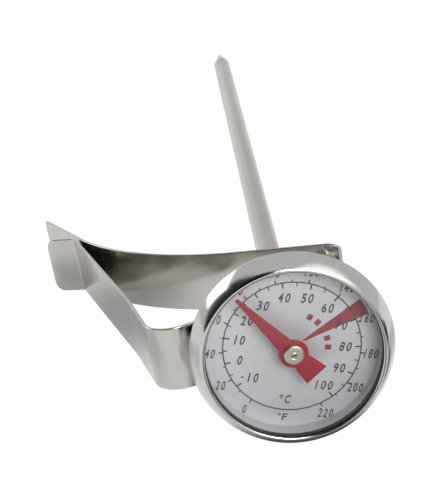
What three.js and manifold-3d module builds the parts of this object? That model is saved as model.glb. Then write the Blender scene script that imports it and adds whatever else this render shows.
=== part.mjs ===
// A bimetal dial thermometer with a long pointed stem and a spring-steel jug clip.
// Millimetres. The stem lies along +Y with its point at the far end, the dial faces -Y,
// and +Z runs across the clip strip. The origin is the centre of the lens's outer face.
import * as THREE from 'three';
import { mergeVertices } from 'three/addons/utils/BufferGeometryUtils.js';
import Module from 'manifold-3d';

const wasm = await Module();
wasm.setup();

// ---- driving dimensions ------------------------------------------------------------
const GAP = 0.3;                // clearance between pieces that touch on the real thing
const SHEET = 0.45;             // sheet thickness of the bezel and the case
const STRIP_THICK = 0.5;        // thickness of the clip's spring steel
const ROUND = 48;               // sides on the large turned pieces
const FINE = 24;                // sides on the small turned pieces

const LENS_R = 12.95;
const LENS_THICK = 0.3;
const LENS_FLAT_R = 12.65;      // of the outer face, inside the ground edge
const DIAL_FACE = 3.6;          // dial face, behind the lens's outer face
const DIAL_THICK = 0.3;
const DIAL_R = 12.9;
const GASKET_BORE_R = 12.6;
const SPACER_BORE_R = 12.65;
const BEZEL_R = 14.85;
const BEZEL_WIDEST = 2.9;       // where the bezel is widest, behind the lens's outer face
const BEZEL_OPENING_R = 12.75;
const BEZEL_CREST = 0.2;        // how far the bezel stands in front of the lens
const BEZEL_BACK = 5.6;
const CASE_WALL_R = 13.5;
const CASE_BODY_R = 12.8;
const CASE_BACK = 7.6;

const STEM_R = 2;
const STEM_BORE_R = 1.6;
const STEM_TOP = 4.5;
const STEM_POINT = 202.5;
const TIP_LENGTH = 14;
const SPIGOT_LENGTH = 3;        // of the point, inside the tube
const BUSH_BORE_R = STEM_R + GAP;
const BUSH_NECK_R = 2.9;
const NUT_ACROSS_FLATS = 8;
const NUT_FRONT = CASE_BACK + GAP;
const NUT_BACK = 10.1;

const SHAFT_R = 0.35;
const HUB_TOP = LENS_THICK + 0.15;
const HUB_R = 1.48;
const SLEEVE_R = 1;
const POINTER_FACE = 1.1;
const POINTER_THICK = 0.3;
const POINTER_REACH = 11.75;
const POINTER_ANGLE = 124;      // degrees from +X towards +Z: the reading at room temperature
const HELIX_LENGTH = 48;
const HELIX_END = STEM_POINT - TIP_LENGTH - SPIGOT_LENGTH - 4;
const HELIX_START = HELIX_END - HELIX_LENGTH;
const SHAFT_END = HELIX_START - 2;

const STRIP_WIDTH = 9.9;
const CLIP_HOLE_R = STEM_R + GAP;
const JAW_SLOT = 1.6;           // extra length of the back arm's hole, for the jaw's swing
const FOLD_SPLIT = 18.5;        // along the stem from the dial face, halfway up the fold

// ---- materials ---------------------------------------------------------------------
function finish(name, color, roughness, metalness) {
  return new THREE.MeshStandardMaterial({ name, color, roughness, metalness });
}
const polishedSteel = finish('polished_steel', 0xc9c8c4, 0.15, 1);
const springSteel = finish('spring_steel', 0xb4b2ad, 0.25, 1);
const stemSteel = finish('stem_steel', 0xb5b3ac, 0.3, 1);
const brass = finish('brass', 0xb99a55, 0.35, 1);
const bimetal = finish('bimetal', 0x9c948a, 0.45, 1);
const dialSilver = finish('dial_silver', 0xc3c3c8, 0.4, 0.6);
const pointerRed = finish('pointer_red', 0xb0464c, 0.5, 0);
const hubCream = finish('hub_cream', 0xd8d6c2, 0.4, 0.4);
const clearLens = finish('clear_lens', 0xf4f6f6, 0.03, 0);
const blackRubber = finish('black_rubber', 0x1c1c1e, 0.8, 0);

// ---- helpers -----------------------------------------------------------------------
const thermometer = new THREE.Group();

function add(name, geometry, material) {
  const mesh = new THREE.Mesh(geometry, material);
  mesh.name = name;
  thermometer.add(mesh);
  return mesh;
}

function toSolid(geometry) {
  const bare = geometry.clone();
  bare.deleteAttribute('normal');
  bare.deleteAttribute('uv');
  const merged = mergeVertices(bare, 1e-4);
  return new wasm.Manifold(new wasm.Mesh({
    numProp: 3,
    vertProperties: new Float32Array(merged.attributes.position.array),
    triVerts: new Uint32Array(merged.index.array),
  }));
}

function toGeometry(solid) {
  const mesh = solid.getMesh();
  const geometry = new THREE.BufferGeometry();
  geometry.setAttribute('position', new THREE.BufferAttribute(mesh.vertProperties, 3));
  geometry.setIndex(new THREE.BufferAttribute(mesh.triVerts, 1));
  return geometry;
}

// Points along part of an ellipse, as [radius, y] pairs for a turned profile.
function ellipseArc(centre, radii, fromDegrees, toDegrees, steps) {
  const points = [];
  for (let i = 0; i <= steps; i += 1) {
    const angle = THREE.MathUtils.degToRad(fromDegrees + ((toDegrees - fromDegrees) * i) / steps);
    points.push([centre[0] + radii[0] * Math.cos(angle), centre[1] + radii[1] * Math.sin(angle)]);
  }
  return points;
}

// Points along a quadratic curve, as [radius, y] pairs for a turned profile.
function bezier(start, control, end, steps) {
  const curve = new THREE.QuadraticBezierCurve(
    new THREE.Vector2(...start), new THREE.Vector2(...control), new THREE.Vector2(...end),
  );
  return curve.getPoints(steps).map(({ x, y }) => [x, y]);
}

// A profile of [radius, y] points turned about the Y axis, whichever way round it is listed.
function turned(profile, sides) {
  const points = profile.map(([radius, y]) => new THREE.Vector2(radius, y));
  if (THREE.ShapeUtils.area(points) < 0) {
    points.reverse();
  }
  points.push(points[0].clone());
  return new THREE.LatheGeometry(points, sides);
}

// A plain tube along Y between two stations.
function tube(innerR, outerR, from, to, sides) {
  return turned([[innerR, from], [outerR, from], [outerR, to], [innerR, to]], sides);
}

// A rod along Y between two stations.
function rod(radius, from, to, sides) {
  return new THREE.CylinderGeometry(radius, radius, to - from, sides).translate(0, (from + to) / 2, 0);
}

// ---- head: bezel, lens, dial and case ------------------------------------------------
// The bezel is one bent sheet: a rolled lip over the lens, a nearly straight flank and a back hem.
function bezelRing() {
  const lipR = BEZEL_OPENING_R + 0.35;
  const lipBack = -0.05;
  const shoulder = [lipR + 0.5, 0.1];
  const widest = [BEZEL_R, BEZEL_WIDEST];
  const hemR = CASE_BODY_R + GAP;
  const outer = [
    ...bezier([lipR, -BEZEL_CREST], [lipR + 0.3, -BEZEL_CREST], shoulder, 3),
    ...bezier(shoulder, [shoulder[0] + 0.8, 1.4], widest, 6).slice(1),
    ...bezier(widest, [BEZEL_R - 0.35, 4.4], [hemR, BEZEL_BACK], 6).slice(1),
  ];
  const insideR = lipR + 0.15;
  const insideWidest = [BEZEL_R - SHEET, BEZEL_WIDEST];
  const inner = [
    [insideR, lipBack],
    ...bezier([insideR, 0.35], [insideR + 0.75, 1.6], insideWidest, 6),
    ...bezier(insideWidest, [BEZEL_R - SHEET - 0.35, 4.2], [hemR, BEZEL_BACK - SHEET], 6).slice(1),
  ];
  const roll = ellipseArc([lipR, lipBack], [lipR - BEZEL_OPENING_R, BEZEL_CREST + lipBack], 180, 270, 4);
  return turned([...outer, ...inner.reverse(), ...roll.slice(0, -1)], ROUND);
}

function caseCup() {
  const floorInside = CASE_BACK - SHEET;
  const shelf = DIAL_FACE + DIAL_THICK + 0.15;
  const flangeBack = shelf + 0.4;
  const bowlR = CASE_BODY_R - 1.5;
  const bowlTop = shelf + 1.2;
  const outside = ellipseArc([bowlR, bowlTop], [CASE_BODY_R - bowlR, CASE_BACK - bowlTop], 0, 90, 4);
  const inside = ellipseArc([bowlR, bowlTop],
    [CASE_BODY_R - bowlR - SHEET, floorInside - bowlTop], 90, 0, 4);
  const holeR = BUSH_NECK_R + GAP;
  return turned([
    [CASE_WALL_R - SHEET, 2], [CASE_WALL_R, 2], [CASE_WALL_R, flangeBack], [CASE_BODY_R, flangeBack],
    ...outside, [holeR, CASE_BACK], [holeR, floorInside], ...inside,
    [CASE_BODY_R - SHEET, shelf], [CASE_WALL_R - SHEET, shelf],
  ], ROUND);
}

// A flat disc whose outer face ends in a ground bevel.
function lensDisc() {
  return turned([[0, 0], [LENS_FLAT_R, 0], [LENS_R, 0.2], [LENS_R, LENS_THICK], [0, LENS_THICK]], ROUND);
}

function makeHead() {
  const gasketFront = LENS_THICK + GAP;
  const gasketBack = gasketFront + 0.6;
  add('bezel_ring', bezelRing(), polishedSteel);
  add('lens', lensDisc(), clearLens);
  add('lens_gasket', tube(GASKET_BORE_R, LENS_R, gasketFront, gasketBack, ROUND), blackRubber);
  add('dial_spacer', tube(SPACER_BORE_R, DIAL_R, gasketBack + GAP, DIAL_FACE - GAP, ROUND), polishedSteel);
  add('dial_plate', tube(0.8, DIAL_R, DIAL_FACE, DIAL_FACE + DIAL_THICK, ROUND), dialSilver);
  add('case_cup', caseCup(), polishedSteel);
  add('friction_washer', tube(BUSH_NECK_R + GAP, 4.4, 6.2, 6.6, FINE), springSteel);
}

// ---- probe: stem with its bush, nut, guides and point --------------------------------
function stemBush() {
  const flangeR = 4.4;
  const flangeFront = 4.9;
  const flangeBack = 5.9;
  return turned([
    [BUSH_BORE_R, flangeFront], [flangeR, flangeFront], [flangeR, flangeBack],
    [BUSH_NECK_R, flangeBack], [BUSH_NECK_R, NUT_BACK], [BUSH_BORE_R, NUT_BACK],
  ], FINE);
}

// A hexagonal nut with both faces chamfered by a cone.
function calibrationNut() {
  const flatR = NUT_ACROSS_FLATS / 2;
  const cornerR = flatR / Math.cos(Math.PI / 6);
  const chamfer = 0.4;
  const hexagon = toSolid(rod(cornerR, NUT_FRONT, NUT_BACK, 6));
  const chamfers = toSolid(turned([
    [0, NUT_FRONT], [flatR, NUT_FRONT], [cornerR, NUT_FRONT + chamfer],
    [cornerR, NUT_BACK - chamfer], [flatR, NUT_BACK], [0, NUT_BACK],
  ], ROUND));
  const bore = toSolid(rod(BUSH_NECK_R + GAP, NUT_FRONT - 1, NUT_BACK + 1, FINE));
  return toGeometry(hexagon.intersect(chamfers).subtract(bore));
}

function stemTip() {
  const shoulder = STEM_POINT - TIP_LENGTH;
  const spigotR = STEM_BORE_R - GAP;
  return turned([
    [0, shoulder - SPIGOT_LENGTH], [spigotR, shoulder - SPIGOT_LENGTH], [spigotR, shoulder],
    [STEM_R, shoulder], [0.15, STEM_POINT - 0.5], [0, STEM_POINT],
  ], FINE);
}

function guideBush(from) {
  return tube(SHAFT_R + GAP, STEM_BORE_R - GAP, from, from + 4, FINE);
}

function makeProbe() {
  const tubeEnd = STEM_POINT - TIP_LENGTH - GAP;
  add('stem_bush', stemBush(), brass);
  add('calibration_nut', calibrationNut(), polishedSteel);
  add('stem_tube', tube(STEM_BORE_R, STEM_R, STEM_TOP, tubeEnd, FINE), stemSteel);
  add('stem_tip', stemTip(), stemSteel);
  add('upper_guide_bush', guideBush(6), brass);
  add('lower_guide_bush', guideBush(SHAFT_END - 6), brass);
  add('helix_anchor', rod(STEM_BORE_R - GAP, HELIX_END + 0.6, HELIX_END + 3.4, FINE), brass);
}

// ---- needle: pointer, hub and shaft, with the helix that turns them ---------------------
class Helix extends THREE.Curve {
  constructor(radius, start, end, turns) {
    super();
    Object.assign(this, { radius, start, end, turns });
  }

  getPoint(t, target = new THREE.Vector3()) {
    const angle = 2 * Math.PI * this.turns * t;
    const y = this.start + (this.end - this.start) * t;
    return target.set(this.radius * Math.cos(angle), y, this.radius * Math.sin(angle));
  }
}

function bimetalHelix() {
  const turns = 22;
  const half = 0.16;
  const section = new THREE.Shape();
  section.moveTo(-half, -half);
  section.lineTo(half, -half);
  section.lineTo(half, half);
  section.lineTo(-half, half);
  const coil = new Helix(0.95, HELIX_START, HELIX_END, turns);
  return new THREE.ExtrudeGeometry(section, { steps: turns * 10, extrudePath: coil });
}

// The pointer's outline lies along +X: a long taper, a round boss and a flared tail.
function pointerBlade() {
  const bossR = 2.15;
  const bladeAngle = THREE.MathUtils.degToRad(34);
  const tailAngle = THREE.MathUtils.degToRad(140);
  const tipHalf = 0.25;
  const tailReach = 4.8;
  const tailHalf = 1.9;
  const outline = new THREE.Shape();
  outline.moveTo(POINTER_REACH, -tipHalf);
  outline.lineTo(POINTER_REACH, tipHalf);
  outline.lineTo(bossR * Math.cos(bladeAngle), bossR * Math.sin(bladeAngle));
  outline.absarc(0, 0, bossR, bladeAngle, tailAngle, false);
  outline.lineTo(-tailReach, tailHalf);
  outline.lineTo(-tailReach, -tailHalf);
  outline.lineTo(bossR * Math.cos(tailAngle), -bossR * Math.sin(tailAngle));
  outline.absarc(0, 0, bossR, -tailAngle, -bladeAngle, false);
  const hole = new THREE.Path();
  hole.absarc(0, 0, SLEEVE_R + GAP, 0, 2 * Math.PI, true);
  outline.holes.push(hole);
  const blade = new THREE.ExtrudeGeometry(outline, {
    depth: POINTER_THICK, bevelEnabled: false, curveSegments: 8,
  });
  return blade.rotateX(-Math.PI / 2).translate(0, POINTER_FACE, 0);
}

// The hub's sleeve holds the pointer, and the shaft's end stands in its blind bore.
function pointerHub() {
  const discBack = POINTER_FACE - GAP;
  const sleeveEnd = DIAL_FACE - 0.5;
  const boreR = SHAFT_R + GAP;
  return turned([
    [0, HUB_TOP], [HUB_R, HUB_TOP], [HUB_R, discBack], [SLEEVE_R, discBack],
    [SLEEVE_R, sleeveEnd], [boreR, sleeveEnd], [boreR, discBack + 0.4], [0, discBack + 0.4],
  ], FINE);
}

function makeNeedle() {
  add('pointer_shaft', rod(SHAFT_R, POINTER_FACE + 0.4, SHAFT_END, 12), stemSteel);
  add('pointer', pointerBlade(), pointerRed).rotation.y = -THREE.MathUtils.degToRad(POINTER_ANGLE);
  add('pointer_hub', pointerHub(), hubCream);
  add('bimetal_helix', bimetalHelix(), bimetal);
}

// ---- clip: one bent strip, in two halves that meet in the middle of its fold -----------
// The strip's centreline is a row of straight runs with a round bend at each inner corner.
// Corners are [x, distance behind the dial face, bend radius].
const LIP_END = [-38.4, 53.8];
const JAW_BEND = [-33.2, 51.6, 1.2];
const FLANK_BEND = [-23.3, 18.2, 20];
const HUMP = [-19.6, 2.3, 4.3];
const FOLD_FRONT = [9.9, 12.1, 3.5];
const FOLD_MIDDLE = [10.45, FOLD_SPLIT];
const FOLD_BACK = [11, 24.8, 3.2];
const ARM_SWEEP = [-23.8, 34.6, 43];
const ARM_END = [-39.2, 65.1];

// Places along the centreline, with the strip's direction at each.
function centreline(corners) {
  const points = corners.map(([x, y]) => new THREE.Vector2(x, y + DIAL_FACE));
  const track = [points[0]];
  for (let i = 1; i < points.length - 1; i += 1) {
    const before = points[i - 1].clone().sub(points[i]).normalize();
    const after = points[i + 1].clone().sub(points[i]).normalize();
    const halfTurn = Math.acos(before.dot(after)) / 2;
    const radius = corners[i][2];
    const bisector = before.clone().add(after).normalize();
    const centre = points[i].clone().addScaledVector(bisector, radius / Math.sin(halfTurn));
    const reach = radius / Math.tan(halfTurn);
    const start = points[i].clone().addScaledVector(before, reach).sub(centre).angle();
    let sweep = points[i].clone().addScaledVector(after, reach).sub(centre).angle() - start;
    sweep = Math.atan2(Math.sin(sweep), Math.cos(sweep));
    const steps = Math.max(3, Math.ceil(Math.abs(sweep) / 0.17));
    for (let k = 0; k <= steps; k += 1) {
      const angle = start + (sweep * k) / steps;
      track.push(new THREE.Vector2(Math.cos(angle), Math.sin(angle)).multiplyScalar(radius).add(centre));
    }
  }
  track.push(points[points.length - 1]);
  return track;
}

// A strip of even thickness along a centreline, with its width across Z.
function strip(corners) {
  const track = centreline(corners);
  const left = [];
  const right = [];
  track.forEach((point, i) => {
    const from = track[Math.max(i - 1, 0)];
    const to = track[Math.min(i + 1, track.length - 1)];
    const along = to.clone().sub(from).normalize();
    const across = new THREE.Vector2(-along.y, along.x).multiplyScalar(STRIP_THICK / 2);
    left.push(point.clone().add(across));
    right.push(point.clone().sub(across));
  });
  const side = new THREE.Shape([...left, ...right.reverse()]);
  const geometry = new THREE.ExtrudeGeometry(side, { depth: STRIP_WIDTH, bevelEnabled: false });
  return toSolid(geometry.translate(0, 0, -STRIP_WIDTH / 2));
}

// A slot through the strip along Y, for the stem; its far end lies `extra` towards -X.
function stemHole(extra) {
  const hole = new THREE.Shape();
  hole.absarc(0, 0, CLIP_HOLE_R, -Math.PI / 2, Math.PI / 2, false);
  hole.absarc(-extra, 0, CLIP_HOLE_R, Math.PI / 2, Math.PI * 1.5, false);
  const cutter = new THREE.ExtrudeGeometry(hole, { depth: 60, bevelEnabled: false, curveSegments: 10 });
  return toSolid(cutter.rotateX(-Math.PI / 2));
}

// Rounds the two corners of the strip's free end at `end`, where the strip runs towards `next`.
function roundedEnd(solid, end, next, radius) {
  const tip = new THREE.Vector2(end[0], end[1] + DIAL_FACE);
  const along = new THREE.Vector2(next[0], next[1] + DIAL_FACE).sub(tip).angle();
  let rounded = solid;
  for (const side of [-1, 1]) {
    const corner = new THREE.Shape();
    const edge = (side * STRIP_WIDTH) / 2;
    const centreZ = edge - side * radius;
    corner.moveTo(-1, edge + side);
    corner.lineTo(-1, centreZ);
    corner.lineTo(0, centreZ);
    corner.absarc(radius, centreZ, radius, Math.PI, (side * Math.PI) / 2, side > 0);
    corner.lineTo(radius, edge + side);
    const cutter = new THREE.ExtrudeGeometry(corner, { depth: 4, bevelEnabled: false, curveSegments: 6 });
    cutter.translate(0, 0, -2).rotateX(Math.PI / 2).rotateZ(along).translate(tip.x, tip.y, 0);
    rounded = rounded.subtract(toSolid(cutter));
  }
  return rounded;
}

function makeClip() {
  const splitGap = GAP / 2;
  const frontEnd = [FOLD_MIDDLE[0] - 0.01, FOLD_SPLIT - splitGap];
  const backStart = [FOLD_MIDDLE[0] + 0.01, FOLD_SPLIT + splitGap];
  const front = strip([LIP_END, JAW_BEND, FLANK_BEND, HUMP, FOLD_FRONT, frontEnd]);
  const back = strip([backStart, FOLD_BACK, ARM_SWEEP, ARM_END]);
  const frontArm = roundedEnd(front.subtract(stemHole(0)), LIP_END, JAW_BEND, 1.6);
  add('clip_front_arm', toGeometry(frontArm), springSteel);
  add('clip_back_arm', toGeometry(back.subtract(stemHole(JAW_SLOT))), springSteel);
}

makeHead();
makeProbe();
makeNeedle();
makeClip();

export default thermometer;
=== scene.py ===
"""Looks for the dial thermometer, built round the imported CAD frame.

Lengths are millimetres until a mesh is made.
"""
import math

import bmesh
import bpy
from mathutils import Matrix, Vector


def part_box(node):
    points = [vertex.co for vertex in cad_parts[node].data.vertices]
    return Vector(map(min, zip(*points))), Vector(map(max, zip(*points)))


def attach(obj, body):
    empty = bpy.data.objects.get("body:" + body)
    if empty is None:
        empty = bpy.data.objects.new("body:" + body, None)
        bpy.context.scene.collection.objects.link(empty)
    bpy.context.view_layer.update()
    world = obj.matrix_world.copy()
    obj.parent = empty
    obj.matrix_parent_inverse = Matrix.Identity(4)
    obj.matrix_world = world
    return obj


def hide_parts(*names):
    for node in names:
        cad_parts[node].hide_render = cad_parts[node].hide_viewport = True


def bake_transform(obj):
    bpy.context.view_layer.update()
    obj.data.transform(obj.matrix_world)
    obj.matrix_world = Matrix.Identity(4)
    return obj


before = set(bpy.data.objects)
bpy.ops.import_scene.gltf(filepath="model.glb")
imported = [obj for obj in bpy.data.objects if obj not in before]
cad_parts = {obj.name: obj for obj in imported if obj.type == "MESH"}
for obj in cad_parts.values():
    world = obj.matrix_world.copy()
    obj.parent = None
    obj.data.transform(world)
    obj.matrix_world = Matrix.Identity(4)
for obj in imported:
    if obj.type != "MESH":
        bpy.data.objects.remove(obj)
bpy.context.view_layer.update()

MM = 0.001


def span(node):
    """Lowest and highest corner of a CAD node, in millimetres."""
    low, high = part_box(node)
    return low / MM, high / MM


# ---- dimensions, from the CAD nodes ---------------------------------------------------
BEZEL_LOW, BEZEL_HIGH = span("bezel_ring")
LENS_LOW, LENS_HIGH = span("lens")
GASKET_LOW, GASKET_HIGH = span("lens_gasket")
SPACER_HIGH = span("dial_spacer")[1]
DIAL_LOW, DIAL_HIGH = span("dial_plate")
CASE_LOW, CASE_HIGH = span("case_cup")
TUBE_LOW, TUBE_HIGH = span("stem_tube")
TIP_LOW, TIP_HIGH = span("stem_tip")
POINTER_LOW, POINTER_HIGH = span("pointer")
HUB_LOW, HUB_HIGH = span("pointer_hub")
FRONT_LOW, FRONT_HIGH = span("clip_front_arm")

DIAL_FACE = DIAL_LOW.y
BEZEL_R = BEZEL_HIGH.x
BEZEL_WIDEST = 2.9
OPENING_R = LENS_HIGH.x - 0.2
LIP_R = OPENING_R + 0.35
SHEET = 0.45
GASKET_BORE_R = LENS_HIGH.x - 0.35
SPACER_BORE_R = SPACER_HIGH.x - 0.25
CASE_BODY_R = CASE_HIGH.x - 0.7
CASE_HOLE_R = 3.2
DIAL_HOLE_R = 0.8
STEM_R = TUBE_HIGH.x
STEM_BORE_R = 1.6
SHOULDER = TUBE_HIGH.y + 0.3
STEM_POINT = TIP_HIGH.y
POINTER_ANGLE = math.radians(124)
POINTER_REACH = 11.75
STRIP_THICK = 0.5
STRIP_EDGE = 0.14
CLIP_HOLE_CLEARANCE = 0.3
JAW_SLOT = 1.6
STRIP_WIDTH = FRONT_HIGH.z - FRONT_LOW.z

# printed dial, as radii in millimetres and angles in degrees from +X towards +Z
SCALE_R = 10.0
DIAL_UP = 75.0
NUMERAL_HEIGHT = 1.45
NUMERAL_PITCH = 1.0
CELSIUS_R = 7.75
FAHRENHEIT_R = 11.85
FAHRENHEIT_NEAR_ZONE_R = 11.5
FAHRENHEIT_PITCH = 0.8
UNITS = (("C", 8.32, -106.7, 1.0), ("F", 11.2, -107.0, 0.85))
ZONE_R = 12.0
ZONE_ROOT_R = 1.9
ZONE_ROOT_SPREAD = 4
MARK_R = 5.2
MARK_ANGLES = (51, 35.5, 21.5, 3.7, -12.1)


def scale_angle(celsius):
    """Angle of a temperature on the printed scale."""
    past = celsius - 45
    return 76.3 - 2.4545 * past - 0.0015 * past * past


# ---- mesh helpers ----------------------------------------------------------------------
def new_object(name, mesh, material, body, nodes=()):
    """A finished piece: in the scene, riding on its body, with the CAD nodes it stands in for hidden."""
    piece = bpy.data.objects.new(name, mesh)
    bpy.context.scene.collection.objects.link(piece)
    mesh.materials.clear()
    mesh.materials.append(material)
    if body:
        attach(piece, body)
    if nodes:
        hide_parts(*nodes)
    return piece


def finish_mesh(name, builder, crease=38):
    """Turns a bmesh in millimetres into a smooth-shaded mesh in metres."""
    bmesh.ops.remove_doubles(builder, verts=builder.verts, dist=1e-5)
    bmesh.ops.recalc_face_normals(builder, faces=builder.faces)
    mesh = bpy.data.meshes.new(name)
    builder.to_mesh(mesh)
    builder.free()
    mesh.transform(Matrix.Scale(MM, 4))
    mesh.shade_smooth()
    mesh.set_sharp_from_angle(angle=math.radians(crease))
    return mesh


def arc(centre, radii, start, end, steps):
    """Points along part of an ellipse."""
    turns = [math.radians(start + (end - start) * i / steps) for i in range(steps + 1)]
    return [(centre[0] + radii[0] * math.cos(t), centre[1] + radii[1] * math.sin(t)) for t in turns]


def bezier(start, control, end, steps):
    """Points along a quadratic curve."""
    points = []
    for i in range(steps + 1):
        t = i / steps
        points.append(tuple((1 - t) ** 2 * a + 2 * t * (1 - t) * b + t * t * c
                            for a, b, c in zip(start, control, end)))
    return points


def soften(profile, radius, steps=3):
    """Rounds every corner of a closed profile by up to `radius`."""
    rounded = []
    count = len(profile)
    for i, corner in enumerate(profile):
        here, back, on = Vector(corner), Vector(profile[i - 1]), Vector(profile[(i + 1) % count])
        before, after = back - here, on - here
        if before.length < 1e-9 or after.length < 1e-9:
            continue
        reach = min(radius, before.length * 0.45, after.length * 0.45)
        if before.angle(after) > math.radians(150) or corner[0] < 1e-6:
            rounded.append(corner)
            continue
        entry, leave = here + before.normalized() * reach, here + after.normalized() * reach
        rounded += bezier(entry, here, leave, steps)
    return rounded


def lathe(name, profile, sides=144, crease=38):
    """A closed profile of (radius, y) turned about the stem's axis."""
    builder = bmesh.new()
    rings = []
    for radius, y in profile:
        if radius < 1e-6:
            vertex = builder.verts.new((0, y, 0))
            rings.append([vertex] * sides)
            continue
        turns = [2 * math.pi * k / sides for k in range(sides)]
        rings.append([builder.verts.new((radius * math.cos(t), y, radius * math.sin(t))) for t in turns])
    for i, ring in enumerate(rings):
        after = rings[(i + 1) % len(rings)]
        for k in range(sides):
            corners = []
            for vertex in (ring[k], ring[(k + 1) % sides], after[(k + 1) % sides], after[k]):
                if vertex not in corners:
                    corners.append(vertex)
            if len(corners) > 2:
                builder.faces.new(corners)
    return finish_mesh(name, builder, crease)


def prism(builder, outline, front, back):
    """A flat outline of (x, z) points, from y = front to y = back."""
    near = [builder.verts.new((x, front, z)) for x, z in outline]
    far = [builder.verts.new((x, back, z)) for x, z in outline]
    builder.faces.new(near)
    builder.faces.new(list(reversed(far)))
    for i, vertex in enumerate(near):
        following = (i + 1) % len(near)
        builder.faces.new((vertex, far[i], far[following], near[following]))


def polar(radius, degrees):
    angle = math.radians(degrees)
    return radius * math.cos(angle), radius * math.sin(angle)


# ---- node helpers ----------------------------------------------------------------------
class Nodes:
    """Short way to write a node tree."""

    def __init__(self, tree):
        self.tree = tree
        tree.nodes.clear()

    def add(self, kind, settings=None, **inputs):
        node = self.tree.nodes.new(kind)
        for key, value in (settings or {}).items():
            setattr(node, key, value)
        for key, value in inputs.items():
            numbered = key[0] == "i" and key[1:].isdigit()
            self.put(node, int(key[1:]) if numbered else key.replace("_", " "), value)
        return node

    def put(self, node, key, value):
        if isinstance(value, bpy.types.NodeSocket):
            self.tree.links.new(value, node.inputs[key])
        else:
            node.inputs[key].default_value = value

    def math(self, operation, first, second=0.0):
        return self.add("ShaderNodeMath", {"operation": operation}, i0=first, i1=second).outputs[0]

    def span(self, value, low, high, into_low=0.0, into_high=1.0):
        return self.add("ShaderNodeMapRange", None, i0=value, i1=low, i2=high,
                        i3=into_low, i4=into_high).outputs[0]

    def mix(self, share, first, second):
        node = self.add("ShaderNodeMix", {"data_type": "RGBA"})
        self.put(node, 0, share)
        self.put(node, 6, first)
        self.put(node, 7, second)
        return node.outputs[2]

    def noise(self, vector, scale, detail=3.0, rough=0.5):
        return self.add("ShaderNodeTexNoise", None, Vector=vector, Scale=scale, Detail=detail,
                        Roughness=rough).outputs[0]


def new_material(name):
    material = bpy.data.materials.new(name)
    material.use_nodes = True
    return material, Nodes(material.node_tree)


def rgb(red, green, blue):
    """A colour as the eye reads it, 0 to 255, in linear light."""
    def linear(level):
        level /= 255
        return level / 12.92 if level <= 0.04045 else ((level + 0.055) / 1.055) ** 2.4
    return linear(red), linear(green), linear(blue), 1.0


def grain_vector(n, direction, fine, coarse):
    """Object position, plain and stretched so that noise in it becomes fine lines."""
    place = n.add("ShaderNodeTexCoord").outputs["Object"]
    if direction == "turned":
        axes = n.add("ShaderNodeSeparateXYZ", None, i0=place).outputs
        radius = n.math("SQRT", n.math("ADD", n.math("MULTIPLY", axes[0], axes[0]),
                                       n.math("MULTIPLY", axes[2], axes[2])))
        packed = n.add("ShaderNodeCombineXYZ", None, i0=radius, i1=axes[1]).outputs[0]
        stretch = (fine, fine, fine)
        return place, n.add("ShaderNodeMapping", None, Vector=packed, Scale=stretch).outputs[0]
    stretch = {"along": (fine, coarse, fine), "across": (coarse, fine, coarse),
               "strip": (coarse, coarse, fine)}[direction]
    return place, n.add("ShaderNodeMapping", None, Vector=place, Scale=stretch).outputs[0]


def metal(name, colour, roughness, direction, fine=9000.0, coarse=120.0, bump=0.05, smudge=0.06,
          tint=0.06, metallic=1.0):
    """Bare or polished metal: drawn or turned lines, cloudy wear in the gloss and a little colour change."""
    material, n = new_material(name)
    place, stretched = grain_vector(n, direction, fine, coarse)
    lines = n.noise(stretched, 1.0, 4.0, 0.6)
    clouds = n.noise(place, 260.0, 3.0, 0.55)
    specks = n.noise(place, 2600.0, 2.0, 0.5)
    gloss = n.math("ADD", n.span(clouds, 0.3, 0.7, -smudge, smudge), n.span(lines, 0.3, 0.7, -0.02, 0.03))
    darker = tuple(c * (1 - tint) for c in colour[:3]) + (1.0,)
    lighter = tuple(min(1.0, c * (1 + tint * 0.5)) for c in colour[:3]) + (1.0,)
    shade = n.mix(n.span(n.math("ADD", n.math("MULTIPLY", clouds, 0.6), n.math("MULTIPLY", specks, 0.4)),
                         0.35, 0.65), darker, lighter)
    relief = n.add("ShaderNodeBump", None, Strength=bump, Distance=0.00005, Height=lines)
    surface = n.add("ShaderNodeBsdfPrincipled", None, Base_Color=shade, Metallic=metallic,
                    Roughness=n.math("MAXIMUM", n.math("ADD", gloss, roughness), 0.03),
                    Normal=relief.outputs[0])
    n.add("ShaderNodeOutputMaterial", None, Surface=surface.outputs[0])
    return material


def paint(name, colour, roughness, metallic=0.0, bump=0.1, scale=1800.0, variation=0.08, gloss=0.5):
    """Ink, paint, rubber or a satin print: fine mottling in colour, gloss and height."""
    material, n = new_material(name)
    place = n.add("ShaderNodeTexCoord").outputs["Object"]
    mottle = n.noise(place, scale, 4.0, 0.6)
    patches = n.noise(place, scale * 0.12, 2.0, 0.5)
    darker = tuple(c * (1 - variation) for c in colour[:3]) + (1.0,)
    lighter = tuple(min(1.0, c * (1 + variation)) for c in colour[:3]) + (1.0,)
    shade = n.mix(n.span(n.math("ADD", n.math("MULTIPLY", mottle, 0.5), n.math("MULTIPLY", patches, 0.5)),
                         0.35, 0.65), darker, lighter)
    relief = n.add("ShaderNodeBump", None, Strength=bump, Distance=0.00003, Height=mottle)
    surface = n.add("ShaderNodeBsdfPrincipled", None, Base_Color=shade, Metallic=metallic,
                    Roughness=n.span(patches, 0.3, 0.7, max(0.05, roughness - 0.06), roughness + 0.06),
                    Normal=relief.outputs[0])
    surface.inputs["Specular IOR Level"].default_value = gloss
    n.add("ShaderNodeOutputMaterial", None, Surface=surface.outputs[0])
    return material


LENS_SHEEN = 0.035


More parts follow.
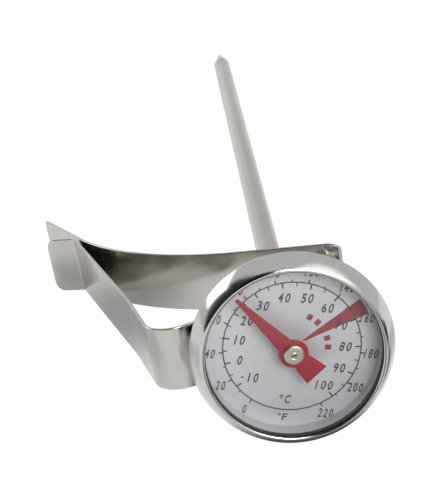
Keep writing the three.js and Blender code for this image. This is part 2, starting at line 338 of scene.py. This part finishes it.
def lens_glass():
    """Clear flat lens: mostly open, with a thin mirror-like sheen and faint dust in the gloss."""
    material, n = new_material("clear_lens")
    place = n.add("ShaderNodeTexCoord").outputs["Object"]
    dust = n.noise(place, 900.0, 5.0, 0.6)
    surface = n.add("ShaderNodeBsdfPrincipled", None, Base_Color=n.mix(n.span(dust, 0.4, 0.8),
                    rgb(238, 242, 242), rgb(226, 230, 231)), Metallic=1.0,
                    Roughness=n.span(dust, 0.3, 0.8, 0.02, 0.07))
    surface.inputs["Alpha"].default_value = LENS_SHEEN
    n.add("ShaderNodeOutputMaterial", None, Surface=surface.outputs[0])
    return material


POLISHED = metal("polished_steel", rgb(214, 213, 210), 0.13, "turned", fine=26000.0, bump=0.02, smudge=0.03)
CASE_STEEL = metal("case_steel", rgb(205, 203, 198), 0.16, "turned", fine=20000.0, bump=0.04, smudge=0.05)
SPRING = metal("spring_steel", rgb(206, 203, 197), 0.16, "strip", fine=9000.0, coarse=160.0, bump=0.035,
               smudge=0.05)
STEM_STEEL = metal("stem_steel", rgb(203, 200, 193), 0.24, "turned", fine=14000.0, bump=0.06, smudge=0.05)
WASHER_STEEL = metal("washer_steel", rgb(196, 194, 188), 0.25, "turned")
BRASS = metal("turned_brass", rgb(196, 164, 96), 0.26, "turned")
BIMETAL = metal("bimetal_strip", rgb(160, 152, 142), 0.42, "along", bump=0.08)
DIAL_SILVER = metal("dial_silver", rgb(216, 216, 220), 0.42, "turned", fine=16000.0, bump=0.03, smudge=0.03,
                    tint=0.03, metallic=0.45)
HUB_CREAM = metal("hub_cream", rgb(226, 222, 203), 0.34, "turned", fine=12000.0, bump=0.05)
SPACER_SILVER = paint("spacer_silver", rgb(188, 188, 190), 0.6, metallic=0.4, bump=0.08, variation=0.05)
INK = paint("scale_ink", rgb(74, 74, 78), 0.5, bump=0.05, variation=0.2)
RED_INK = paint("red_ink", rgb(150, 70, 75), 0.5, bump=0.05, variation=0.07, gloss=0.3)
POINTER_RED = paint("pointer_red", rgb(154, 49, 57), 0.42, bump=0.06, variation=0.06, gloss=0.25)
RUBBER = paint("black_rubber", rgb(34, 34, 36), 0.7, bump=0.2, variation=0.2)
# flat dark paint for the hub's slot: painted shade, as no slot is cut
SLOT_PAINTED_SHADE = paint("slot_painted_shade", rgb(70, 66, 58), 0.6, bump=0.1, variation=0.2)
GLASS = lens_glass()


# ---- head ------------------------------------------------------------------------------
def make_head():
    crest, back, lip_back = BEZEL_LOW.y, BEZEL_HIGH.y, -0.05
    shoulder, widest = (LIP_R + 0.5, 0.1), (BEZEL_R, BEZEL_WIDEST)
    hem_r = CASE_BODY_R + 0.3
    outer = bezier((LIP_R, crest), (LIP_R + 0.3, crest), shoulder, 8)
    outer += bezier(shoulder, (shoulder[0] + 0.8, 1.4), widest, 20)[1:]
    outer += bezier(widest, (BEZEL_R - 0.35, 4.4), (hem_r, back), 16)[1:]
    inside_r = LIP_R + 0.15
    inside_widest = (BEZEL_R - SHEET, BEZEL_WIDEST)
    inner = [(inside_r, lip_back)]
    inner += bezier((inside_r, 0.35), (inside_r + 0.75, 1.6), inside_widest, 20)
    inner += bezier(inside_widest, (BEZEL_R - SHEET - 0.35, 4.2), (hem_r, back - SHEET), 16)[1:]
    roll = arc((LIP_R, lip_back), (LIP_R - OPENING_R, lip_back - crest), 180, 270, 10)
    bezel = lathe("bezel_shell", outer + inner[::-1] + roll[:-1], 192, 50)
    new_object("bezel_shell", bezel, POLISHED, "head", ["bezel_ring"])

    flat_r = LENS_HIGH.x - 0.3
    glass = [(0, LENS_LOW.y), (flat_r, LENS_LOW.y), (LENS_HIGH.x, LENS_LOW.y + 0.2),
             (LENS_HIGH.x, LENS_HIGH.y), (0, LENS_HIGH.y)]
    new_object("lens_disc", lathe("lens_disc", soften(glass, 0.05)), GLASS, "head", ["lens"])

    gasket = [(GASKET_BORE_R, GASKET_LOW.y), (GASKET_HIGH.x, GASKET_LOW.y),
              (GASKET_HIGH.x, GASKET_HIGH.y), (GASKET_BORE_R, GASKET_HIGH.y)]
    new_object("lens_seal", lathe("lens_seal", soften(gasket, 0.15)), RUBBER, "head",
               ["lens_gasket"])

    spacer = [(SPACER_BORE_R, GASKET_HIGH.y), (SPACER_HIGH.x, GASKET_HIGH.y),
              (SPACER_HIGH.x, DIAL_FACE), (SPACER_BORE_R, DIAL_FACE)]
    new_object("spacer_band", lathe("spacer_band", soften(spacer, 0.04)), SPACER_SILVER, "head",
               ["dial_spacer"])

    plate = [(DIAL_HOLE_R, DIAL_LOW.y), (DIAL_HIGH.x, DIAL_LOW.y),
             (DIAL_HIGH.x, DIAL_HIGH.y), (DIAL_HOLE_R, DIAL_HIGH.y)]
    new_object("dial_disc", lathe("dial_disc", soften(plate, 0.04)), DIAL_SILVER, "head",
               ["dial_plate"])

    shelf = DIAL_HIGH.y + 0.15
    flange_back = shelf + 0.4
    bowl_r = CASE_BODY_R - 1.5
    bowl_top = shelf + 1.2
    back = CASE_HIGH.y
    wall = CASE_HIGH.x
    outside = arc((bowl_r, bowl_top), (CASE_BODY_R - bowl_r, back - bowl_top), 0, 90, 12)
    inside = arc((bowl_r, bowl_top), (CASE_BODY_R - bowl_r - SHEET, back - SHEET - bowl_top), 90, 0, 12)
    case = [(wall - SHEET, CASE_LOW.y), (wall, CASE_LOW.y), (wall, flange_back), (CASE_BODY_R, flange_back)]
    case += outside + [(CASE_HOLE_R, back), (CASE_HOLE_R, back - SHEET)] + inside
    case += [(CASE_BODY_R - SHEET, shelf), (wall - SHEET, shelf)]
    new_object("case_shell", lathe("case_shell", soften(case, 0.12), 144, 40), CASE_STEEL, "head",
               ["case_cup"])


# ---- dial printing -----------------------------------------------------------------------
INK_THICK = 0.02
RED_FRONT = DIAL_FACE - 0.02
BLACK_FRONT = DIAL_FACE - 0.035


def ring_band(builder, inner, outer, start, end, front, steps):
    """A flat printed arc, as a closed sliver on the dial."""
    turns = [start + (end - start) * i / steps for i in range(steps + 1)]
    for a, b in zip(turns, turns[1:]):
        prism(builder, [polar(inner, a), polar(outer, a), polar(outer, b), polar(inner, b)],
              front, front + INK_THICK)


def tick(builder, inner, outer, degrees, width, front):
    along = Vector(polar(1, degrees))
    across = Vector((-along.y, along.x)) * width / 2
    outline = [along * inner - across, along * outer - across,
               along * outer + across, along * inner + across]
    prism(builder, [tuple(point) for point in outline], front, front + INK_THICK)


def text_mesh(text):
    """The default face's outlines for a short text, as a flat mesh around its own middle, one unit tall."""
    curve = bpy.data.curves.new("glyphs", "FONT")
    curve.body = text
    curve.size = 1.0
    curve.resolution_u = 5
    curve.offset = 0.018
    source = bpy.data.objects.new("glyphs", curve)
    bpy.context.scene.collection.objects.link(source)
    bpy.context.view_layer.update()
    mesh = bpy.data.meshes.new_from_object(source.evaluated_get(bpy.context.evaluated_depsgraph_get()))
    bpy.data.objects.remove(source)
    bpy.data.curves.remove(curve)
    lows = [min(v.co[i] for v in mesh.vertices) for i in (0, 1)]
    highs = [max(v.co[i] for v in mesh.vertices) for i in (0, 1)]
    middle = Vector(((lows[0] + highs[0]) / 2, (lows[1] + highs[1]) / 2, 0))
    mesh.transform(Matrix.Translation(-middle))
    return mesh, highs[0] - lows[0], highs[1] - lows[1]


def add_glyph(builder, glyph, place, height, width, slant):
    """One character on the dial, upright to the dial's own up and leaning a little to the right."""
    mesh, wide, tall = text_mesh(glyph)
    shape = bmesh.new()
    shape.from_mesh(mesh)
    bpy.data.meshes.remove(mesh)
    turn = math.radians(DIAL_UP - 90)
    for vertex in shape.verts:
        x = vertex.co.x * width / wide
        y = vertex.co.y * height / tall
        x += y * slant
        vertex.co = (place[0] + x * math.cos(turn) - y * math.sin(turn), BLACK_FRONT,
                     place[1] + x * math.sin(turn) + y * math.cos(turn))
    made = bmesh.ops.extrude_face_region(shape, geom=shape.faces[:])
    for item in made["geom"]:
        if isinstance(item, bmesh.types.BMVert):
            item.co.y += INK_THICK
    scratch = bpy.data.meshes.new("glyph")
    shape.to_mesh(scratch)
    shape.free()
    builder.from_mesh(scratch)
    bpy.data.meshes.remove(scratch)


GLYPH_WIDTH = {"1": 0.2, "-": 0.42}


def add_number(builder, text, radius, degrees, pitch=NUMERAL_PITCH, height=NUMERAL_HEIGHT):
    """A row of narrow numerals, centred on a point of the dial."""
    middle = Vector(polar(radius, degrees))
    turn = math.radians(DIAL_UP - 90)
    along = Vector((math.cos(turn), math.sin(turn)))
    start = -(len(text) - 1) / 2
    for i, glyph in enumerate(text):
        spot = middle + along * (start + i) * pitch
        tall = 0.16 if glyph == "-" else height
        wide = GLYPH_WIDTH.get(glyph, 0.68) * pitch
        add_glyph(builder, glyph, spot, tall, wide, 0.16)


def add_unit(builder, letter, radius, degrees, size):
    """A small ring for the degree sign, with its letter."""
    middle = Vector(polar(radius, degrees))
    turn = math.radians(DIAL_UP - 90)
    along, up = Vector((math.cos(turn), math.sin(turn))), Vector((-math.sin(turn), math.cos(turn)))
    add_glyph(builder, letter, middle + along * 0.4 * size, 1.3 * size, 0.85 * size, 0.16)
    centre = middle - along * 0.55 * size + up * 0.45 * size
    turns = [2 * math.pi * i / 16 for i in range(17)]
    for a, b in zip(turns, turns[1:]):
        outline = [centre + Vector((math.cos(t), math.sin(t))) * r for r, t in
                   ((0.14 * size, a), (0.27 * size, a), (0.27 * size, b), (0.14 * size, b))]
        prism(builder, [tuple(point) for point in outline], BLACK_FRONT, BLACK_FRONT + INK_THICK)


def make_printing():
    lines = bmesh.new()
    ring_band(lines, SCALE_R - 0.09, SCALE_R + 0.09, 0, 360, BLACK_FRONT, 240)
    for celsius in range(-10, 101, 5):
        major = celsius % 10 == 0
        tick(lines, SCALE_R - (0.85 if major else 0.6), SCALE_R, scale_angle(celsius),
             0.22 if major else 0.16, BLACK_FRONT)
    for fahrenheit in range(0, 221, 10):
        major = fahrenheit % 20 == 0
        tick(lines, SCALE_R, SCALE_R + (0.6 if major else 0.4), scale_angle((fahrenheit - 32) / 1.8),
             0.2 if major else 0.15, BLACK_FRONT)
    new_object("scale_lines", finish_mesh("scale_lines", lines), INK, "head")

    numerals = bmesh.new()
    for celsius in range(-10, 101, 10):
        add_number(numerals, str(celsius), CELSIUS_R, scale_angle(celsius))
    for fahrenheit in range(0, 221, 20):
        radius = FAHRENHEIT_NEAR_ZONE_R if 150 < fahrenheit < 210 else FAHRENHEIT_R
        add_number(numerals, str(fahrenheit), radius, scale_angle((fahrenheit - 32) / 1.8),
                   pitch=FAHRENHEIT_PITCH)
    for letter, radius, degrees, size in UNITS:
        add_unit(numerals, letter, radius, degrees, size)
    new_object("scale_numerals", finish_mesh("scale_numerals", numerals), INK, "head")

    zone = bmesh.new()
    hot, cool = scale_angle(65), scale_angle(70)
    steps = 8
    edge = [polar(ZONE_R, hot + (cool - hot) * i / steps) for i in range(steps + 1)]
    middle = (hot + cool) / 2
    root = [polar(ZONE_ROOT_R, middle + spread) for spread in (ZONE_ROOT_SPREAD, -ZONE_ROOT_SPREAD)]
    prism(zone, [root[0], *edge, root[1]], RED_FRONT, RED_FRONT + INK_THICK)
    new_object("frothing_zone", finish_mesh("frothing_zone", zone), RED_INK, "head")

    marks = bmesh.new()
    for degrees in MARK_ANGLES:
        tick(marks, MARK_R - 0.45, MARK_R + 0.45, degrees, 0.75, RED_FRONT - 0.012)
    new_object("zone_marks", finish_mesh("zone_marks", marks), RED_INK, "head")


# ---- needle --------------------------------------------------------------------------------
def rounded_slab(builder, outline, front, back, bevel):
    """A flat outline between two depths, its front and back edges eased by `bevel`."""
    count = len(outline)
    points = [Vector(point) for point in outline]

    def inset(depth):
        moved = []
        for i, point in enumerate(points):
            before = (point - points[i - 1]).normalized()
            after = (points[(i + 1) % count] - point).normalized()
            normal = Vector((before.y + after.y, -before.x - after.x))
            normal.normalize()
            lean = max(0.4, normal.dot(Vector((before.y, -before.x))))
            moved.append(point - normal * depth / lean)
        return moved

    layers = [(front, bevel), (front + bevel * 0.3, bevel * 0.3), (front + bevel, 0),
              (back - bevel, 0), (back - bevel * 0.3, bevel * 0.3), (back, bevel)]
    rings = [[builder.verts.new((x, y, z)) for x, z in inset(depth)] for y, depth in layers]
    for first, second in zip(rings, rings[1:]):
        for i in range(count):
            k = (i + 1) % count
            builder.faces.new((first[i], first[k], second[k], second[i]))
    builder.faces.new(rings[0])
    builder.faces.new(rings[-1][::-1])


def make_needle():
    boss_r, blade_angle, tail_angle = 2.15, 34, 140
    tail_reach, tail_half, tip_half = 4.8, 1.9, 0.25
    outline = [(POINTER_REACH, -tip_half), (POINTER_REACH, tip_half)]
    outline += arc((0, 0), (boss_r, boss_r), blade_angle, tail_angle, 14)
    outline += [(-tail_reach, tail_half), (-tail_reach, -tail_half)]
    outline += arc((0, 0), (boss_r, boss_r), -tail_angle, -blade_angle, 14)
    blade = bmesh.new()
    rounded_slab(blade, outline, POINTER_LOW.y, POINTER_HIGH.y, 0.07)
    for vertex in blade.verts:
        x, z = vertex.co.x, vertex.co.z
        vertex.co.x = x * math.cos(POINTER_ANGLE) - z * math.sin(POINTER_ANGLE)
        vertex.co.z = x * math.sin(POINTER_ANGLE) + z * math.cos(POINTER_ANGLE)
    new_object("pointer_blade", finish_mesh("pointer_blade", blade, 25), POINTER_RED, "needle",
               ["pointer"])

    disc_back = POINTER_LOW.y - 0.3
    hub_r = HUB_HIGH.x
    hub = [(0, HUB_LOW.y), (0.42, HUB_LOW.y), (0.5, HUB_LOW.y + 0.06), (0.58, HUB_LOW.y),
           (hub_r - 0.18, HUB_LOW.y + 0.02), (hub_r, HUB_LOW.y + 0.2), (hub_r, disc_back), (1.0, disc_back),
           (1.0, HUB_HIGH.y), (0.65, HUB_HIGH.y), (0.65, disc_back + 0.4), (0, disc_back + 0.4)]
    new_object("hub_cap", lathe("hub_cap", soften(hub, 0.05), 96), HUB_CREAM, "needle",
               ["pointer_hub"])

    # a dark sheet on the hub's face stands for the slot: painted shade in place of its depth
    slot = bmesh.new()
    angle = POINTER_ANGLE + math.radians(60)
    along = Vector((math.cos(angle), math.sin(angle)))
    across = Vector((-along.y, along.x))
    half_long, half_wide = 0.45, 0.14
    corners = [along * half_long * a + across * half_wide * b
               for a, b in ((-1, -1), (1, -1), (1, 1), (-1, 1))]
    prism(slot, [tuple(c) for c in corners], HUB_LOW.y - 0.012, HUB_LOW.y + 0.05)
    new_object("hub_slot_painted_shade", finish_mesh("hub_slot_painted_shade", slot), SLOT_PAINTED_SHADE, "needle")


# ---- probe ---------------------------------------------------------------------------------
def make_probe():
    stem = [(STEM_BORE_R, TUBE_LOW.y), (STEM_R, TUBE_LOW.y),
            (STEM_R, TUBE_HIGH.y), (STEM_BORE_R, TUBE_HIGH.y)]
    new_object("stem_sleeve", lathe("stem_sleeve", soften(stem, 0.08), 96), STEM_STEEL, "probe",
               ["stem_tube"])
    spigot = TIP_HIGH.y - SHOULDER
    point = [(0, TIP_LOW.y), (1.3, TIP_LOW.y), (1.3, SHOULDER - 0.25), (STEM_R - 0.03, SHOULDER - 0.25),
             (STEM_R, SHOULDER)]
    point += [(STEM_R + (0.15 - STEM_R) * t, SHOULDER + (spigot - 0.5) * t) for t in (0.25, 0.5, 0.75, 1)]
    point.append((0, STEM_POINT))
    new_object("stem_spear", lathe("stem_spear", point, 96, 50), STEM_STEEL, "probe",
               ["stem_tip"])


# ---- clip ----------------------------------------------------------------------------------
# The strip's inner corners as (x, distance behind the dial face, bend radius), as in the CAD.
LIP_END = (-38.4, 53.8)
JAW_BEND = (-33.2, 51.6, 1.2)
FLANK_BEND = (-23.3, 18.2, 20)
HUMP = (-19.6, 2.3, 4.3)
FOLD_FRONT = (9.9, 12.1, 3.5)
FOLD_SEAM = (10.15, 15.4)
FOLD_BACK = (11, 24.8, 3.2)
ARM_SWEEP = (-23.8, 34.6, 43)
ARM_END = (-39.2, 65.1)
FRONT_CORNER_R, BACK_CORNER_R = 1.6, 0.6
CUTTER_SPAN = (5, 60)


def centreline(corners, step=0.5):
    """The strip's middle line: straight runs with a round bend at each inner corner, in short steps."""
    points = [Vector((c[0], c[1] + DIAL_FACE)) for c in corners]
    track = [points[0]]

    def run_to(target):
        gap = target - track[-1]
        count = max(1, round(gap.length / step))
        origin = track[-1]
        track.extend(origin + gap * (k + 1) / count for k in range(count))

    for i in range(1, len(points) - 1):
        before = (points[i - 1] - points[i]).normalized()
        after = (points[i + 1] - points[i]).normalized()
        half = before.angle(after) / 2
        radius = corners[i][2]
        centre = points[i] + (before + after).normalized() * radius / math.sin(half)
        reach = radius / math.tan(half)
        first = points[i] + before * reach - centre
        last = points[i] + after * reach - centre
        start = math.atan2(first.y, first.x)
        sweep = math.atan2(last.y, last.x) - start
        sweep = math.atan2(math.sin(sweep), math.cos(sweep))
        run_to(centre + first)
        steps = max(8, math.ceil(abs(sweep) * radius / step))
        for k in range(1, steps + 1):
            angle = start + sweep * k / steps
            track.append(centre + Vector((math.cos(angle), math.sin(angle))) * radius)
    run_to(points[-1])
    return track


def strip_section(half_width, half_thick, edge):
    """Outline across the strip as (offset, z), with its four long edges rounded."""
    outline = []
    for side_offset, side_z, start in ((1, 1, 0), (-1, 1, 90), (-1, -1, 180), (1, -1, 270)):
        centre = (side_offset * (half_thick - edge), side_z * (half_width - edge))
        outline += arc(centre, (edge, edge), start, start + 90, 4)
    return outline


def sweep_strip(name, corners, round_start=0.0, round_end=0.0):
    """The bent strip, its free corners rounded off by narrowing the last stations."""
    track = centreline(corners)
    lengths = [0.0]
    for a, b in zip(track, track[1:]):
        lengths.append(lengths[-1] + (b - a).length)
    total = lengths[-1]
    stations = []
    for i, point in enumerate(track):
        ahead = track[min(i + 1, len(track) - 1)] - track[max(i - 1, 0)]
        stations.append((lengths[i], point, ahead.normalized()))

    def spread(radius, from_start):
        """Extra stations inside a rounded corner, closer together towards the free end."""
        extra = []
        base, direction = (stations[0], 1) if from_start else (stations[-1], -1)
        for k in range(1, 10):
            d = radius * (1 - math.cos(math.radians(9 * k)))
            extra.append((base[0] + direction * d, base[1] + base[2] * direction * d, base[2]))
        return extra

    if round_start:
        stations = [s for s in stations if s[0] == 0 or s[0] > round_start * 1.02] \
            + spread(round_start, True)
    if round_end:
        stations = [s for s in stations if s[0] == total or s[0] < total - round_end * 1.02] \
            + spread(round_end, False)
    stations.sort(key=lambda s: s[0])

    def narrowing(distance, radius):
        if not radius or distance >= radius:
            return 0.0
        return radius - math.sqrt(max(0.0, radius ** 2 - (radius - distance) ** 2))

    builder = bmesh.new()
    rings = []
    for distance, point, along in stations:
        half = STRIP_WIDTH / 2 - narrowing(distance, round_start) - narrowing(total - distance, round_end)
        across = Vector((-along.y, along.x))
        ring = []
        for offset, z in strip_section(half, STRIP_THICK / 2, STRIP_EDGE):
            place = point + across * offset
            ring.append(builder.verts.new((place.x, place.y, z)))
        rings.append(ring)
    count = len(rings[0])
    for first, second in zip(rings, rings[1:]):
        for i in range(count):
            k = (i + 1) % count
            builder.faces.new((first[i], first[k], second[k], second[i]))
    builder.faces.new(rings[0][::-1])
    builder.faces.new(rings[-1])
    return builder


def cut_hole(builder, extra):
    """Cuts the stem's slot through a strip; its far end lies `extra` towards -X."""
    hole_r = STEM_R + CLIP_HOLE_CLEARANCE
    outline = arc((0, 0), (hole_r, hole_r), -90, 90, 28) + arc((-extra, 0), (hole_r, hole_r), 90, 270, 28)
    clean = []
    for point in outline:
        if not clean or (Vector(point) - Vector(clean[-1])).length > 1e-4:
            clean.append(point)
    if (Vector(clean[0]) - Vector(clean[-1])).length < 1e-4:
        clean.pop()
    cutter = bmesh.new()
    prism(cutter, clean, *CUTTER_SPAN)
    bmesh.ops.recalc_face_normals(cutter, faces=cutter.faces)
    bmesh.ops.recalc_face_normals(builder, faces=builder.faces)
    things = []
    for shape in (builder, cutter):
        mesh = bpy.data.meshes.new("cut")
        shape.to_mesh(mesh)
        shape.free()
        thing = bpy.data.objects.new("cut", mesh)
        bpy.context.scene.collection.objects.link(thing)
        things.append(thing)
    modifier = things[0].modifiers.new("hole", "BOOLEAN")
    modifier.operation = "DIFFERENCE"
    modifier.solver = "EXACT"
    modifier.object = things[1]
    bpy.context.view_layer.update()
    result = bpy.data.meshes.new_from_object(things[0].evaluated_get(bpy.context.evaluated_depsgraph_get()))
    made = bmesh.new()
    made.from_mesh(result)
    for thing in things:
        mesh = thing.data
        bpy.data.objects.remove(thing)
        bpy.data.meshes.remove(mesh)
    bpy.data.meshes.remove(result)
    return made


def make_clip():
    front = cut_hole(sweep_strip("front_arm", [LIP_END, JAW_BEND, FLANK_BEND, HUMP, FOLD_FRONT, FOLD_SEAM],
                                 round_start=FRONT_CORNER_R), 0)
    new_object("clip_front_strip", finish_mesh("clip_front_strip", front, 30), SPRING, "clip_front",
               ["clip_front_arm"])
    back = cut_hole(sweep_strip("back_arm", [FOLD_SEAM, FOLD_BACK, ARM_SWEEP, ARM_END],
                                round_end=BACK_CORNER_R), JAW_SLOT)
    piece = new_object("clip_back_strip", finish_mesh("clip_back_strip", back, 30), SPRING, None,
                       ["clip_back_arm"])
    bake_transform(piece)


# ---- floor, camera and light ---------------------------------------------------------------
# The floor's painted shade, seen only in reflections and bounce light: a painted contact shadow, the clip's
# painted shadow and dark patches; (x, y, inner radius, outer radius, brightness added), in metres.
FLOOR_BASE = 0.85
FLOOR_PAINTED_SHADE = (
    (-0.028, -0.022, 0.010, 0.024, -0.6),
    (0.0, -0.003, 0.006, 0.018, -0.75),
    (0.018, -0.035, 0.010, 0.022, -0.7),
    (0.0, -0.205, 0.140, 0.160, -0.8),
    (0.023, 0.050, 0.004, 0.026, -0.45),
    (0.046, -0.028, 0.006, 0.022, -0.25),
    (-0.010, 0.052, 0.008, 0.032, -0.2),
)


def floor_paper():
    """White paper to the camera; to reflections and bounce light it glows, with painted shadows and painted
    shade in dark patches.
    """
    material, n = new_material("floor_paper")
    place = n.add("ShaderNodeTexCoord").outputs["Object"]
    cloud = n.noise(place, 12.0, 2.0, 0.5)
    axes = n.add("ShaderNodeSeparateXYZ", None, i0=place).outputs
    flat = n.add("ShaderNodeCombineXYZ", None, i0=axes[0], i1=axes[1]).outputs[0]
    level = n.math("ADD", FLOOR_BASE, n.span(cloud, 0.3, 0.7, -0.02, 0.02))
    # each patch darkens the glow that the steel reflects: painted shadow and painted shade
    for x, y, inner, outer, added in FLOOR_PAINTED_SHADE:
        away = n.add("ShaderNodeVectorMath", {"operation": "DISTANCE"}, i0=flat,
                     i1=(x, y, 0)).outputs["Value"]
        painted_shade = n.add("ShaderNodeMapRange", {"interpolation_type": "SMOOTHSTEP"}, i0=away, i1=inner,
                     i2=outer, i3=added, i4=0.0).outputs[0]
        level = n.math("ADD", level, painted_shade)
    level = n.math("MAXIMUM", level, 0.03)
    # the glow that reflections see stands in for lit paper, with the painted shade in it
    painted_shade_glow = n.add("ShaderNodeEmission", None, Color=(1, 1, 1, 1), Strength=level)
    paper = n.add("ShaderNodeBsdfDiffuse", None, Color=(0.9, 0.9, 0.9, 1))
    glow = n.add("ShaderNodeEmission", None, Color=(1, 1, 1, 1), Strength=1.12)
    shown = n.add("ShaderNodeMixShader", None, i0=0.85, i1=paper.outputs[0], i2=glow.outputs[0])
    seen = n.add("ShaderNodeLightPath").outputs["Is Camera Ray"]
    both = n.add("ShaderNodeMixShader", None, i0=seen, i1=painted_shade_glow.outputs[0], i2=shown.outputs[0])
    open_below = n.add("ShaderNodeBsdfTransparent")
    underneath = n.add("ShaderNodeNewGeometry").outputs["Backfacing"]
    sided = n.add("ShaderNodeMixShader", None, i0=underneath, i1=both.outputs[0], i2=open_below.outputs[0])
    n.add("ShaderNodeOutputMaterial", None, Surface=sided.outputs[0])
    return material


def resting_plane():
    """Normal and height of the plane that touches the bezel, a corner of the clip and the stem."""
    corners = [Vector((x, y + DIAL_FACE, -STRIP_WIDTH / 2)) for x, y in (LIP_END, ARM_END)]
    stem_ends = [Vector((0, STEM_POINT, 0)), Vector((0, SHOULDER, -STEM_R))]
    normal = Vector((0, 0, 1))
    for _ in range(30):
        outward = Vector((-normal.x, 0, -normal.z)).normalized()
        bezel = Vector((0, DIAL_FACE, 0)) + outward * BEZEL_R
        clip = min(corners, key=normal.dot)
        stem = min(stem_ends, key=normal.dot)
        normal = (clip - bezel).cross(stem - bezel).normalized()
        if normal.z < 0:
            normal.negate()
    return normal, bezel.dot(normal)


def make_floor():
    normal, height = resting_plane()
    builder = bmesh.new()
    bmesh.ops.create_grid(builder, x_segments=8, y_segments=8, size=1500)
    mesh = bpy.data.meshes.new("floor")
    builder.to_mesh(mesh)
    builder.free()
    mesh.transform(Matrix.Scale(MM, 4))
    mesh.materials.append(floor_paper())
    floor = bpy.data.objects.new("floor", mesh)
    bpy.context.scene.collection.objects.link(floor)
    floor.matrix_world = Matrix.Translation(normal * (height - 0.05) * MM) \
        @ normal.to_track_quat("Z", "Y").to_matrix().to_4x4()


# the photograph's viewpoint, solved from the picture: millimetres from the dial's centre, and degrees
CAMERA_PLACE = (-4.81, -182.99, 84.32)
CAMERA_YAW, CAMERA_PITCH, CAMERA_ROLL = 0.913, -20.06, -11.26
CAMERA_LENS = 102.57


def make_camera():
    """The photograph's viewpoint: in front of the dial, above it and turned a little clockwise."""
    data = bpy.data.cameras.new("camera")
    data.sensor_width = 36
    data.lens = CAMERA_LENS
    camera = bpy.data.objects.new("camera", data)
    bpy.context.scene.collection.objects.link(camera)
    yaw, pitch, roll = (math.radians(a) for a in (CAMERA_YAW, CAMERA_PITCH, CAMERA_ROLL))
    place = (Vector((0, DIAL_FACE, 0)) + Vector(CAMERA_PLACE)) * MM
    camera.matrix_world = Matrix.Translation(place) @ Matrix.Rotation(yaw, 4, "Z") \
        @ Matrix.Rotation(math.pi / 2 + pitch, 4, "X") @ Matrix.Rotation(roll, 4, "Z")
    data.clip_start, data.clip_end = 0.01, 10
    bpy.context.scene.camera = camera


def softbox(name, azimuth, elevation, distance, size, power):
    """A square area light aimed at the head."""
    data = bpy.data.lights.new(name, "AREA")
    data.shape = "SQUARE"
    data.size = size
    data.energy = power
    light = bpy.data.objects.new(name, data)
    bpy.context.scene.collection.objects.link(light)
    away = heading(azimuth, elevation)
    light.matrix_world = Matrix.Translation(away * distance) \
        @ away.to_track_quat("Z", "Y").to_matrix().to_4x4()


# (name, azimuth, elevation, distance and side in metres, watts)
SOFTBOXES = (
    ("key", 18, 26, 0.6, 0.28, 2.1),
    ("rim", -128, 32, 0.7, 0.3, 0.55),
)

# The studio as the steel sees it: (azimuth, elevation, half-angle, softness, brightness added).
STUDIO_BASE = 0.6
STUDIO_PATCHES = (
    (33, 20, 16, 7, 0.9),
    (76, 45, 24, 8, 0.9),
    (-58, 29, 49, 4, -0.57),
    (0, 8, 16, 8, -0.5),
    (-128, 32, 13, 6, 0.12),
    (-164, 14, 12, 8, 0.14),
)


def heading(azimuth, elevation):
    """Unit vector from the object; azimuth 0 is in front of the dial and 90 is on its right."""
    a, e = math.radians(azimuth), math.radians(elevation)
    return Vector((math.sin(a) * math.cos(e), -math.cos(a) * math.cos(e), math.sin(e)))


def make_world():
    world = bpy.data.worlds.new("studio")
    world.use_nodes = True
    n = Nodes(world.node_tree)
    way = n.add("ShaderNodeTexCoord").outputs["Generated"]
    level = STUDIO_BASE
    for azimuth, elevation, half, soft, added in STUDIO_PATCHES:
        facing = n.add("ShaderNodeVectorMath", {"operation": "DOT_PRODUCT"}, i0=way,
                       i1=heading(azimuth, elevation)).outputs["Value"]
        patch = n.add("ShaderNodeMapRange", {"interpolation_type": "SMOOTHSTEP"}, i0=facing,
                      i1=math.cos(math.radians(half + soft)), i2=math.cos(math.radians(half - soft)),
                      i3=0.0, i4=added).outputs[0]
        level = n.math("ADD", level, patch)
    tent = n.add("ShaderNodeCombineXYZ", None, i0=level, i1=level, i2=level).outputs[0]
    seen = n.add("ShaderNodeLightPath").outputs["Is Camera Ray"]
    shade = n.mix(seen, tent, (1, 1, 1, 1))
    background = n.add("ShaderNodeBackground", None, Color=shade, Strength=1.0)
    n.add("ShaderNodeOutputWorld", None, Surface=background.outputs[0])
    bpy.context.scene.world = world


make_head()
make_printing()
make_needle()
make_probe()
make_clip()

# CAD pieces that keep their shape and take a finer material
CARRIED_OVER = {
    "friction_washer": WASHER_STEEL,
    "stem_bush": BRASS,
    "calibration_nut": CASE_STEEL,
    "upper_guide_bush": BRASS,
    "lower_guide_bush": BRASS,
    "helix_anchor": BRASS,
    "pointer_shaft": STEM_STEEL,
    "bimetal_helix": BIMETAL,
}
for node, material in CARRIED_OVER.items():
    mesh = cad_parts[node].data
    mesh.materials.clear()
    mesh.materials.append(material)

make_camera()
make_floor()
make_world()
for name, azimuth, elevation, distance, size, power in SOFTBOXES:
    softbox(name, azimuth, elevation, distance, size, power)
bpy.context.scene.view_settings.view_transform = "Standard"
